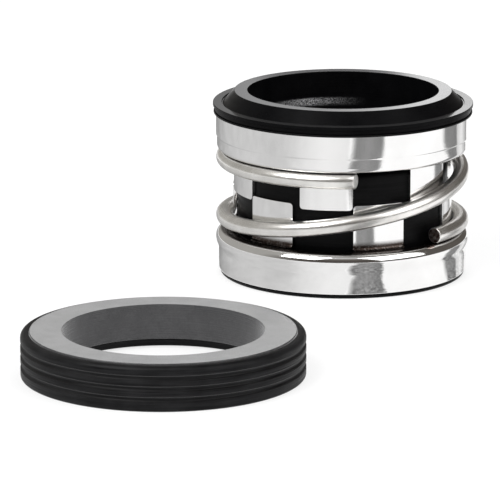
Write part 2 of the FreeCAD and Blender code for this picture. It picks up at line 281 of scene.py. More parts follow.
class Board:
    """A node tree with short ways to lay down and join nodes."""

    # Sockets of a mix node that blends colours
    FIRST_COLOUR = 6
    SECOND_COLOUR = 7
    MIXED_COLOUR = 2

    def __init__(self, tree: bpy.types.NodeTree) -> None:
        """Empties the tree.

        Args:
            tree: the tree to work on.
        """
        self.tree = tree
        self.tree.nodes.clear()

    def node(self, kind: str, **settings: object) -> bpy.types.Node:
        """Lays down a node.

        Args:
            kind: Blender's word for the node.
            settings: its settings.

        Returns:
            The node.
        """
        node = self.tree.nodes.new(kind)
        for setting, value in settings.items():
            setattr(node, setting, value)
        return node

    def join(self, start: Socket, end: Socket) -> None:
        """Joins an output to an input."""
        self.tree.links.new(start, end)

    def span(self, share: Socket, ends: Span, to: Span) -> Socket:
        """Stretches a value from one span to another, held at both ends.

        Args:
            share: the value's socket.
            ends: the span that it comes from.
            to: the span that it goes to.

        Returns:
            The stretched value's socket.
        """
        node = self.node("ShaderNodeMapRange", clamp=True)
        self.join(share, node.inputs["Value"])
        node.inputs["From Min"].default_value, node.inputs["From Max"].default_value = ends
        node.inputs["To Min"].default_value, node.inputs["To Max"].default_value = to
        return node.outputs["Result"]

    def mix(self, share: Socket, low: Colour | Socket, high: Colour | Socket) -> Socket:
        """Blends two colours.

        Args:
            share: socket of how much of the second shows, from 0 to 1.
            low: the first colour, plain or as a socket.
            high: the second colour, plain or as a socket.

        Returns:
            The blend's socket.
        """
        node = self.node("ShaderNodeMix", data_type="RGBA")
        self.join(share, node.inputs[0])
        for colour, place in ((low, self.FIRST_COLOUR), (high, self.SECOND_COLOUR)):
            if isinstance(colour, Socket):
                self.join(colour, node.inputs[place])
            else:
                node.inputs[place].default_value = (*colour, 1.0)
        return node.outputs[self.MIXED_COLOUR]

    def ramp(self, share: Socket, stops: Sequence[tuple[float, Colour]]) -> Socket:
        """A colour that changes along a share.

        Args:
            share: the share's socket.
            stops: places from 0 to 1, each with its colour.

        Returns:
            The colour's socket.
        """
        node = self.node("ShaderNodeValToRGB")
        self.join(share, node.inputs["Fac"])
        marks = node.color_ramp.elements
        for place, _ in stops[1:-1]:
            marks.new(place)
        for mark, (place, colour) in zip(marks, stops):
            mark.position = place
            mark.color = (*colour, 1.0)
        return node.outputs["Color"]

    def axes(self, vector: Socket) -> tuple[Socket, ...]:
        """Splits a vector.

        Args:
            vector: the vector's socket.

        Returns:
            The sockets of its X, Y and Z.
        """
        split = self.node("ShaderNodeSeparateXYZ")
        self.join(vector, split.inputs[0])
        return tuple(split.outputs)


class Sheet(Board):
    """The node sheet of one material."""

    def __init__(self, name: str) -> None:
        """Opens an empty material with its shader and output.

        Args:
            name: name of the material.
        """
        self.material = bpy.data.materials.new(name)
        self.material.use_nodes = True
        super().__init__(self.material.node_tree)
        self.output = self.node("ShaderNodeOutputMaterial")
        self.shader = self.node("ShaderNodeBsdfPrincipled")
        self.join(self.shader.outputs["BSDF"], self.output.inputs["Surface"])

    def set(self, **values: object) -> None:
        """Sets the shader's own sockets; underscores stand for spaces."""
        for name, value in values.items():
            self.shader.inputs[name.replace("_", " ")].default_value = value

    def math(self, kind: str, *values: object) -> Socket:
        """Works out one sum of sockets and plain numbers.

        Args:
            kind: Blender's word for the operation.
            values: sockets or numbers, in the node's order.

        Returns:
            The result's socket.
        """
        node = self.node("ShaderNodeMath", operation=kind)
        for place, value in enumerate(values):
            if isinstance(value, Socket):
                self.join(value, node.inputs[place])
            else:
                node.inputs[place].default_value = value
        return node.outputs[0]

    def weigh(self, *parts: tuple[Socket, float]) -> Socket:
        """Adds two sockets up, each by its weight.

        Args:
            parts: both sockets, each with its weight.

        Returns:
            The sum's socket.
        """
        return self.math("ADD", *(self.math("MULTIPLY", value, weight) for value, weight in parts))

    def place(self, centre: Spot) -> Socket:
        """The point's place measured from a piece's own axle.

        Args:
            centre: the axle's place on the floor, in millimetres.

        Returns:
            The place's socket, in metres.
        """
        where = self.node("ShaderNodeTexCoord")
        shift = self.node("ShaderNodeMapping", vector_type="POINT")
        shift.inputs["Location"].default_value = (-centre[0] * MM, -centre[1] * MM, 0.0)
        self.join(where.outputs["Object"], shift.inputs["Vector"])
        return shift.outputs["Vector"]

    def polar(self, place: Socket) -> tuple[Socket, ...]:
        """Splits a place and measures it from the axle.

        Args:
            place: the place's socket.

        Returns:
            The sockets of its X, Y and height, and of its distance from the axle.
        """
        x, y, z = self.axes(place)
        across = self.math("SQRT", self.math("ADD", self.math("MULTIPLY", x, x), self.math("MULTIPLY", y, y)))
        return x, y, z, across

    def lines(self, centre: Spot, along: float, fine: float) -> Socket:
        """A vector whose noise draws fine lines round the axle.

        Args:
            centre: the piece's axle on the floor, in millimetres.
            along: how fast the pattern changes along a line, per metre.
            fine: how fast it changes from line to line, per metre.

        Returns:
            The vector's socket.
        """
        x, y, z, across = self.polar(self.place(centre))
        joined = self.node("ShaderNodeCombineXYZ")
        self.join(self.math("MULTIPLY", x, along), joined.inputs[0])
        self.join(self.math("MULTIPLY", y, along), joined.inputs[1])
        self.join(self.math("MULTIPLY", self.math("ADD", z, across), fine), joined.inputs[2])
        return joined.outputs[0]

    def noise(self, vector: Socket, scale: float, detail: float = 3.0, rough: float = 0.55) -> Socket:
        """Noise from 0 to 1.

        Args:
            vector: socket of the place that it is read at.
            scale: how fast it changes along the vector.
            detail: how many finer layers it has.
            rough: how strong the finer layers are.

        Returns:
            The noise's socket.
        """
        noise = self.node("ShaderNodeTexNoise", noise_dimensions="3D")
        noise.inputs["Scale"].default_value = scale
        noise.inputs["Detail"].default_value = detail
        noise.inputs["Roughness"].default_value = rough
        self.join(vector, noise.inputs["Vector"])
        return noise.outputs["Fac"]

    def paint(self, colour: Socket) -> None:
        """Colours the surface."""
        self.join(colour, self.shader.inputs["Base Color"])

    def greys(self, share: Socket, stops: tuple[Span, ...]) -> Socket:
        """A grey tone that changes along a share, through stops of share and grey."""
        return self.ramp(share, [(place, (grey, grey, grey)) for place, grey in stops])

    def shine(self, tone: Socket, strength: float) -> None:
        """Makes the surface a card that only gives off its tone.

        Args:
            tone: the tone's socket.
            strength: how bright white is.
        """
        glow = self.node("ShaderNodeEmission")
        glow.inputs["Strength"].default_value = strength
        self.join(tone, glow.inputs["Color"])
        self.join(glow.outputs["Emission"], self.output.inputs["Surface"])

    def rough(self, value: Socket) -> None:
        """Roughens the surface by a socket."""
        self.join(value, self.shader.inputs["Roughness"])

    def relief(self, *layers: tuple[Socket, float]) -> None:
        """Stacks bumps.

        Args:
            layers: height sockets, each with its depth in millimetres.
        """
        below: Optional[Socket] = None
        for height, depth in layers:
            bump = self.node("ShaderNodeBump")
            bump.inputs["Strength"].default_value = 1.0
            bump.inputs["Distance"].default_value = depth * MM
            self.join(height, bump.inputs["Height"])
            if below is not None:
                self.join(below, bump.inputs["Normal"])
            below = bump.outputs["Normal"]
        self.join(below, self.shader.inputs["Normal"])


@dataclass(frozen=True)
class PolishedSteel:
    """Pressed stainless sheet, polished, with faint lines round it, slight waves and a brown shade painted into its
    bends.

    Args:
        name: name of the material.
        bright: colour of its cleanest places.
        dull: colour of its cloudy places.
        polish: roughness from the best polished to the most worn places.
        bend_shade: brown colour of the painted shade in the bends and end walls.
        bends: heights at which the painted shade starts, is full, is full still and ends, in millimetres.
        bend_rim: distances from the axle between which the painted shade thins out.
        wave_depth: depth of the pressed sheet's waves, in millimetres.
        grain_depth: depth of its grain.
        line_depth: depth of its polishing lines.
        line_wear: how much the lines count beside the clouds where it is worn.
        bend_shade_haze: how much rougher the painted shade makes it.
    """

    name: str = "polished_steel"
    bright: Colour = (0.93, 0.925, 0.92)
    dull: Colour = (0.86, 0.855, 0.85)
    polish: Span = (0.04, 0.11)
    bend_shade: Colour = (0.05, 0.036, 0.03)
    bends: tuple[tuple[float, ...], ...] = ((9.5, 9.7, 11.0, 12.0), (26.9, 27.4, 28.1, 28.4))
    bend_rim: Span = (26.8, 27.15)
    wave_depth: float = 0.02
    grain_depth: float = 0.003
    line_depth: float = 0.001
    line_wear: float = 0.4
    bend_shade_haze: float = 0.2

    def bend_shade_mask(self, sheet: Sheet, place: Socket) -> Socket:
        """Finds the end walls and the bends to their tabs, where shade is painted.

        Args:
            sheet: the material's node sheet.
            place: socket of the place on the shell.

        Returns:
            Socket of how much painted shade there is, from 0 to 1.
        """
        _, _, height, across = sheet.polar(place)
        inside = sheet.span(across, tuple(edge * MM for edge in self.bend_rim), FALLING)
        layers = []
        for low, low_full, high_full, high in self.bends:
            rise = sheet.span(height, (low * MM, low_full * MM), RISING)
            fall = sheet.span(height, (high_full * MM, high * MM), FALLING)
            layers.append(sheet.math("MULTIPLY", rise, fall))
        return sheet.math("MULTIPLY", inside, sheet.math("ADD", *layers))

    def material(self) -> Material:
        """Builds the finish.

        Returns:
            The material.
        """
        sheet = Sheet(self.name)
        sheet.set(Metallic=1.0)
        place = sheet.place(HEAD_CENTRE)
        lines = sheet.noise(sheet.lines(HEAD_CENTRE, along=22.0, fine=5200.0), scale=1.0, detail=2.0)
        cloud = sheet.noise(place, scale=120.0, detail=4.0)
        waves = sheet.noise(place, scale=70.0, detail=1.0)
        grain = sheet.noise(place, scale=2600.0, detail=2.0)
        bare = sheet.mix(sheet.span(cloud, (0.3, 0.7), RISING), self.dull, self.bright)
        # Painted shade: a speckled brown darkening laid into the bends and end walls, where shade falls
        bend_shade = sheet.math("MULTIPLY", self.bend_shade_mask(sheet, place), sheet.span(grain, (0.2, 0.5), (0.75, 1.0)))
        sheet.paint(sheet.mix(bend_shade, bare, self.bend_shade))
        wear = sheet.math("ADD", cloud, sheet.math("MULTIPLY", lines, self.line_wear))
        polish = sheet.span(wear, (0.45, 0.95), self.polish)
        sheet.rough(sheet.math("ADD", polish, sheet.math("MULTIPLY", bend_shade, self.bend_shade_haze)))
        sheet.relief((waves, self.wave_depth), (grain, self.grain_depth), (lines, self.line_depth))
        return sheet.material


@dataclass(frozen=True)
class SpringWire:
    """Hard drawn stainless wire with its draw marks along it.

    Args:
        name: name of the material.
        bright: colour of its cleanest places.
        dull: colour of its cloudy places.
        roughness: roughness across its draw marks.
        marks: how often the marks change along the wire, per metre, and round it.
        mark_depth: depth of the marks, in millimetres.
    """

    name: str = "spring_wire"
    bright: Colour = (0.97, 0.955, 0.93)
    dull: Colour = (0.76, 0.745, 0.715)
    roughness: Span = (0.24, 0.36)
    marks: Span = (160.0, 22.0)
    mark_depth: float = 0.004

    def material(self) -> Material:
        """Builds the finish; its lines follow the wire's own UV map.

        Returns:
            The material.
        """
        sheet = Sheet(self.name)
        sheet.set(Metallic=1.0)
        where = sheet.node("ShaderNodeTexCoord")
        stretch = sheet.node("ShaderNodeMapping", vector_type="POINT")
        stretch.inputs["Scale"].default_value = (*self.marks, 1.0)
        sheet.join(where.outputs["UV"], stretch.inputs["Vector"])
        marks = sheet.noise(stretch.outputs["Vector"], scale=1.0)
        cloud = sheet.noise(sheet.place(HEAD_CENTRE), scale=160.0)
        sheet.paint(sheet.mix(sheet.span(cloud, (0.35, 0.65), RISING), self.dull, self.bright))
        sheet.rough(sheet.span(marks, (0.3, 0.7), self.roughness))
        sheet.relief((marks, self.mark_depth))
        return sheet.material


@dataclass(frozen=True)
class CutSteel:
    """The cut face of a wire end: rough, with a bloom that differs from end to end.

    Args:
        name: name of the material.
        bloom: colour of the bloom.
        bare: colour of the steel between it.
        roughness: roughness from the finest to the coarsest grain.
        grain_depth: depth of the grain, in millimetres.
    """

    name: str = "browned_cut"
    bloom: Colour = (0.13, 0.085, 0.07)
    bare: Colour = (0.5, 0.45, 0.42)
    roughness: Span = (0.3, 0.5)
    grain_depth: float = 0.03

    def material(self) -> Material:
        """Builds the finish.

        Returns:
            The material.
        """
        sheet = Sheet(self.name)
        sheet.set(Metallic=1.0)
        grain = sheet.noise(sheet.place(HEAD_CENTRE), scale=1500.0)
        sheet.paint(sheet.mix(sheet.span(grain, (0.4, 0.7), RISING), self.bloom, self.bare))
        sheet.rough(sheet.span(grain, (0.3, 0.7), self.roughness))
        sheet.relief((grain, self.grain_depth))
        return sheet.material


@dataclass(frozen=True)
class FaceCeramic:
    """Hard black or grey ring material, satin where turned and finer where lapped.

    Args:
        name: name of the material.
        centre: the piece's axle on the floor, in millimetres.
        dark: colour between its speckles.
        light: colour of its speckles.
        roughness: roughness from its finest to its coarsest line.
        gloss: strength of its mirrored light.
        index: how strongly it bends light.
        grain: depth of its speckles, in millimetres.
        turned: depth of its turning lines, in millimetres.
        highlight_heights: heights between which its bore has a painted highlight, in millimetres.
        highlight_grey: colour of the painted highlight.
    """

    name: str
    centre: Spot
    dark: Colour
    light: Colour
    roughness: Span
    gloss: float = 0.12
    index: float = 1.5
    grain: float = 0.004
    turned: float = 0.002
    highlight_heights: Optional[Span] = None
    highlight_grey: Colour = (0.5, 0.5, 0.51)

    def painted_highlight(self, sheet: Sheet, place: Socket) -> Socket:
        """Finds where a speckled grey highlight is painted on the bore's far side.

        Args:
            sheet: the material's node sheet.
            place: socket of the place on the ring.

        Returns:
            Socket of how much painted highlight there is, from 0 to 1.
        """
        x, y, z, across = sheet.polar(place)
        low, high = self.highlight_heights
        share = sheet.span(sheet.noise(place, scale=3800.0, detail=2.0), (0.4, 0.62), (0.08, 1.0))
        # Millimetres between which the painted highlight fades in or out, axis by axis
        for value, ends, to in (
            (x, (-17.0, -7.0), RISING),
            (x, (-8.0, 7.0), FALLING),
            (x, (-6.0, 6.0), FALLING),
            (y, (8.0, 12.0), RISING),
            (z, (low, low + 0.7), RISING),
            (z, (high - 0.4, high), FALLING),
            (across, (21.2, 21.4), FALLING),
        ):
            side = sheet.span(value, (ends[0] * MM, ends[1] * MM), to)
            share = sheet.math("MULTIPLY", share, side)
        return share

    def material(self) -> Material:
        """Builds the finish.

        Returns:
            The material.
        """
        sheet = Sheet(self.name)
        sheet.set(IOR=self.index, Specular_IOR_Level=self.gloss)
        place = sheet.place(self.centre)
        speckle = sheet.noise(place, scale=5200.0, detail=2.0)
        cloud = sheet.noise(place, scale=220.0, detail=4.0)
        lines = sheet.noise(sheet.lines(self.centre, along=30.0, fine=6400.0), scale=1.0, detail=2.0)
        share = sheet.weigh((speckle, 0.7), (cloud, 0.3))
        colour = sheet.mix(sheet.span(share, (0.35, 0.65), RISING), self.dark, self.light)
        if self.highlight_heights is not None:
            # Painted highlight: a speckled grey spot low on the bore's far wall, left of the middle, standing in
            # for mirrored light
            colour = sheet.mix(self.painted_highlight(sheet, place), colour, self.highlight_grey)
        sheet.paint(colour)
        sheet.rough(sheet.span(sheet.math("ADD", lines, cloud), (0.7, 1.3), self.roughness))
        sheet.relief((speckle, self.grain), (lines, self.turned))
        return sheet.material


@dataclass(frozen=True)
class MouldedRubber:
    """Black moulded rubber: satin, fibrous round the axle, with a dry bloom in places.

    Args:
        name: name of the material.
        centre: the piece's axle on the floor, in millimetres.
        black: colour of the clean rubber.
        bloom: colour of the bloom.
        roughness: roughness from clean to bloomed.
        gloss: strength of its mirrored light.
        streak_depth: depth of its fibrous streaks, in millimetres.
        grain_depth: depth of its grain.
    """

    name: str
    centre: Spot
    black: Colour = (0.0015, 0.0015, 0.0018)
    bloom: Colour = (0.008, 0.008, 0.0085)
    roughness: Span = (0.3, 0.5)
    gloss: float = 0.08
    streak_depth: float = 0.025
    grain_depth: float = 0.012

    def material(self) -> Material:
        """Builds the finish.

        Returns:
            The material.
        """
        sheet = Sheet(self.name)
        sheet.set(IOR=1.5, Specular_IOR_Level=self.gloss)
        place = sheet.place(self.centre)
        streaks = sheet.noise(sheet.lines(self.centre, along=70.0, fine=2600.0), scale=1.0, detail=4.0)
        grain = sheet.noise(place, scale=3800.0, detail=2.0)
        cloud = sheet.noise(place, scale=140.0, detail=4.0)
        share = sheet.weigh((streaks, 0.6), (cloud, 0.4))
        sheet.paint(sheet.mix(sheet.span(share, (0.4, 0.66), RISING), self.black, self.bloom))
        sheet.rough(sheet.span(share, (0.35, 0.65), self.roughness))
        sheet.relief((streaks, self.streak_depth), (grain, self.grain_depth))
        return sheet.material


# The rotating head


@dataclass
class NoseRing:
    """The hard ring whose lapped nose runs on the seat; sizes in millimetres."""

    bore: float = 21.05
    back: float = 31.1
    spigot: float = 25.0
    relief: float = 28.3
    relief_foot: float = 36.5
    flange: float = 28.7
    land_foot: float = 37.55
    shoulder: float = 38.25
    cone_foot: float = 26.25
    nose: float = 23.95
    top: float = 40.8
    groove: float = 0.28
    groove_lip: float = 0.5
    groove_foot: float = 0.45
    cone_lean: float = 0.9
    # Heights of the painted highlight on the bore's far wall
    bore_highlight: Span = (32.9, 35.0)

    def outline(self) -> list[Corner]:
        """The ring's section, from the bore's back edge outwards.

        Returns:
            Its corners in order.
        """
        return [
            Corner(self.bore, self.back, 0.3),
            Corner(self.spigot, self.back, 0.3),
            Corner(self.spigot, self.relief_foot, 0.2),
            Corner(self.relief, self.relief_foot, 0.15),
            Corner(self.relief, self.land_foot),
            Corner(self.flange, self.land_foot, 0.1),
            Corner(self.flange, self.shoulder, 0.14),
            Corner(self.cone_foot + self.groove_lip, self.shoulder, 0.04, 2),
            Corner(self.cone_foot + self.groove_foot, self.shoulder - self.groove, 0.04, 2),
            Corner(self.cone_foot + self.cone_lean * self.groove, self.shoulder - self.groove),
            Corner(self.nose, self.top, 0.1),
            Corner(self.bore, self.top, 0.14),
        ]

    def build(self) -> Piece:
        """Makes the ring: its nose is lapped, its shoulder honed, the rest as ground.

        Returns:
            The finished piece on the face side.
        """
        piece = Bench.turned("nose_ring", self.outline())
        ground = FaceCeramic(
            "ground_carbide",
            HEAD_CENTRE,
            dark=(0.0012, 0.0012, 0.0015),
            light=(0.0045, 0.0045, 0.005),
            roughness=(0.24, 0.4),
            gloss=0.045,
            highlight_heights=self.bore_highlight,
        )
        honed = replace(
            ground,
            name="honed_carbide",
            dark=(0.02, 0.02, 0.0205),
            light=(0.03, 0.03, 0.0305),
            roughness=(0.09, 0.14),
            gloss=0.5,
            index=2.6,
            grain=0.0003,
            turned=0.0002,
            highlight_heights=None,
        )
        lapped = replace(honed, name="lapped_carbide", dark=(0.1, 0.1, 0.103), light=(0.13, 0.13, 0.133))
        for finish in (ground, honed, lapped):
            piece.data.materials.append(finish.material())
        middle = (self.shoulder + self.top) / 2 * MM
        for face in piece.data.polygons:
            if face.normal.z > FACING_UP and face.center.z > self.land_foot * MM:
                face.material_index = 2 if face.center.z > middle else 1
        Bench.smooth(piece)
        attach(piece, Side.FACE.value)
        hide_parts("primary_ring")
        return piece


@dataclass
class HookedShell:
    """A drawn steel shell whose end wall carries six hooked tabs.

    Args:
        name: name of the piece.
        node: the solid that it replaces.
        side: the body that it rides on.
        end: height of its end wall's outer face, in millimetres.
        tip: height of its tabs' free ends, in millimetres.
        first_angle: middle of its first tab, in degrees from the right towards the camera.
        end_round: radius of the bend from its wall to its end wall.
        end_steps: how many flats that bend has.
        tab_line: distance of the tabs' outer faces from the axle.
        tab_round: radius of the bend from the end wall to the tabs.
        tab_steps: how many flats that bend, and each rounded tab corner, has.
        root: distance from the axle to which the gaps between the tabs are cut.
        tab_angle: width of a tab in degrees.
        count: how many tabs it has.
        wall: thickness of the sheet.
        tab_corner: radius of the tabs' free corners.
        arc_steps: how many steps make a tab or a gap.
        edge: how far the sheet's edges are broken.
    """

    name: str
    node: str
    side: Side
    end: float
    tip: float
    first_angle: float
    end_round: float
    end_steps: int
    tab_line: float = 24.2
    tab_round: float = 0.9
    tab_steps: int = 5
    root: float = 25.1
    tab_angle: float = 27.8
    count: int = 6
    wall: float = 0.9
    tab_corner: float = 0.75
    arc_steps: int = 14
    edge: float = 0.12

    def rolled_wall(self) -> list[Corner]:
        """The outline of the rolled wall, which each kind of shell gives for itself."""
        raise NotImplementedError

    def path(self) -> list[Corner]:
        """The outer line of the sheet, from the wall's free edge to a tab's tip.

        Returns:
            Its corners in order.
        """
        return [
            *self.rolled_wall(),
            Corner(self.tab_line, self.end, self.tab_round, self.tab_steps),
            Corner(self.tab_line, self.tip),
        ]

    def build(self, steel: Material) -> Piece:
        """Spins one tab and one gap, copies them round and gives the sheet its thickness.

        Args:
            steel: the shell's finish.

        Returns:
            The finished piece on its body.
        """
        pitch = FULL_TURN / self.count
        piece = Bench.trace(self.name, self.path(), closed=False)
        start = self.first_angle - self.tab_angle / 2
        Bench.swing(start)
        Bench.spin(self.arc_steps, self.tab_angle)
        edge = math.radians(start + self.tab_angle)
        along = Vector((math.cos(edge), -math.sin(edge)))
        Bench.pick(
            piece,
            lambda point: abs(point.xy.cross(along)) < MERGE and point.xy.dot(along) > self.root * MM - MERGE,
        )
        Bench.spin(self.arc_steps, pitch - self.tab_angle)
        bpy.ops.mesh.select_all(action="SELECT")
        Bench.spin(self.count - 1, FULL_TURN - pitch, copies=True)
        bpy.ops.mesh.select_all(action="SELECT")
        bpy.ops.mesh.remove_doubles(threshold=MERGE)
        self.round_tabs(piece, pitch)
        Bench.close(piece)
        Bench.modify(piece, "SOLIDIFY", thickness=self.wall * MM, offset=-1.0, use_even_offset=True)
        Bench.modify(
            piece,
            "BEVEL",
            width=self.edge * MM,
            segments=2,
            limit_method="ANGLE",
            angle_limit=math.radians(40.0),
            harden_normals=False,
        )
        Bench.smooth(piece)
        piece.data.materials.append(steel)
        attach(piece, self.side.value)
        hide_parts(self.node)
        return piece

    def round_tabs(self, piece: Piece, pitch: float) -> None:
        """Rounds the free corners of every tab.

        Args:
            piece: the shell in edit mode.
            pitch: angle from tab to tab, in degrees.
        """
        corners = []
        for tab in range(self.count):
            for half in (-0.5, 0.5):
                turned = math.radians(self.first_angle + pitch * tab + half * self.tab_angle)
                side = Vector((math.cos(turned), -math.sin(turned), 0.0)) * self.tab_line
                corners.append((side + Vector((0.0, 0.0, self.tip))) * MM)
        Bench.pick(piece, lambda point: any((point - corner).length < NEAR for corner in corners))
        bpy.ops.mesh.bevel(offset=self.tab_corner * MM, segments=self.tab_steps, affect="VERTICES")


@dataclass
class FrontShell(HookedShell):
    """The shell round the head's cup, with a small step below its rim and tabs that reach back."""

    name: str = "front_shell"
    node: str = "retainer"
    side: Side = Side.FACE
    end: float = 27.75
    tip: float = 18.9
    first_angle: float = 39.85
    end_round: float = 1.2
    end_steps: int = 8
    top: float = 35.9
    rim: float = 28.0
    step_top: float = 31.05
    step_foot: float = 30.85
    stepped: float = 27.8
    step_round: float = 0.4

    def rolled_wall(self) -> list[Corner]:
        """The outline of the rolled wall, from its rim to the end wall's bend.

        Returns:
            Its corners in order.
        """
        return [
            Corner(self.rim, self.top),
            Corner(self.rim, self.step_top, self.step_round),
            Corner(self.stepped, self.step_foot, self.step_round),
            Corner(self.stepped, self.end, self.end_round, self.end_steps),
        ]


@dataclass
class RearShell(HookedShell):
    """The shell round the tail, swelling to a bead at its end wall, with tabs that reach forward."""

    name: str = "rear_shell"
    node: str = "drive_band"
    side: Side = Side.DRIVE
    end: float = 10.0
    tip: float = 20.0
    first_angle: float = 11.75
    end_round: float = 2.0
    end_steps: int = 12
    foot: float = 1.0
    band: float = 27.4
    swell_foot: float = 5.9
    bead_foot: float = 7.3
    bead: float = 28.0
    swell_round: float = 3.0
    swell_steps: int = 8

    def rolled_wall(self) -> list[Corner]:
        """The outline of the rolled wall, from its foot to the end wall's bend.

        Returns:
            Its corners in order.
        """
        return [
            Corner(self.band, self.foot),
            Corner(self.band, self.swell_foot, self.swell_round, self.swell_steps),
            Corner(self.bead, self.bead_foot, self.swell_round, self.swell_steps),
            Corner(self.bead, self.end, self.end_round, self.end_steps),
        ]


@dataclass
class RubberBellows:
    """The one rubber moulding: tail, barrel fold, neck, head cup and lip; sizes in millimetres."""

    bore: float = 19.85
    tail_rim: float = 27.1
    collar_foot: float = 0.9
    collar: float = 26.4
    collar_top: float = 9.0
    barrel: float = 23.2
    barrel_inner: float = 22.1
    barrel_middle: float = 17.4
    barrel_top: float = 26.75
    neck: float = 21.7
    neck_inner: float = 20.7
    head_back: float = 28.75
    head: float = 27.0
    lip_foot: float = 36.0
    lip: float = 28.55
    lip_top: float = 36.4
    pocket: float = 25.1
    pocket_floor: float = 31.0
    fold_top: float = 25.65
    fold_foot: float = 13.65
    tail_length: float = 11.4

    def outline(self) -> list[Corner]:
        """The moulding's section, from the tail's bore outwards and back down inside.

        Returns:
            Its corners in order.
        """
        return [
            Corner(self.bore, 0.0, 0.35),
            Corner(self.tail_rim, 0.0, 0.5),
            Corner(self.tail_rim, self.collar_foot, 0.2),
            Corner(self.collar, self.collar_foot, 0.15),
            Corner(self.collar, self.collar_top, 0.3),
            Corner(self.barrel, self.collar_top, 0.4),
            Corner(self.barrel, self.barrel_middle),
            Corner(self.barrel, self.barrel_top, 1.1, 8),
            Corner(self.neck, self.barrel_top, 0.3),
            Corner(self.neck, self.head_back, 0.5),
            Corner(self.head, self.head_back, 0.5),
            Corner(self.head, self.lip_foot, 0.3),
            Corner(self.lip, self.lip_foot, 0.1),
            Corner(self.lip, self.lip_top, 0.15),
            Corner(self.pocket, self.lip_top, 0.2),
            Corner(self.pocket, self.pocket_floor, 0.3),
            Corner(self.neck_inner, self.pocket_floor, 0.3),
            Corner(self.neck_inner, self.fold_top, 0.2),
            Corner(self.barrel_inner, self.fold_top, 0.6),
            Corner(self.barrel_inner, self.fold_foot, 0.4),
            Corner(self.bore, self.tail_length, 0.4),
        ]

    def build(self, rubber: Material) -> Piece:
        """Makes the moulding, which folds as the face moves.

        Args:
            rubber: the moulding's finish.

        Returns:
            The finished piece between both bodies.
        """
        piece = Bench.turned("rubber_bellows", self.outline())
        Bench.smooth(piece)
        piece.data.materials.append(rubber)
        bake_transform(piece, Side.DRIVE.value, Side.FACE.value, (0.0, 0.0, 0.012), (0.0, 0.0, self.head_back * MM))
        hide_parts("bellows")
        return piece


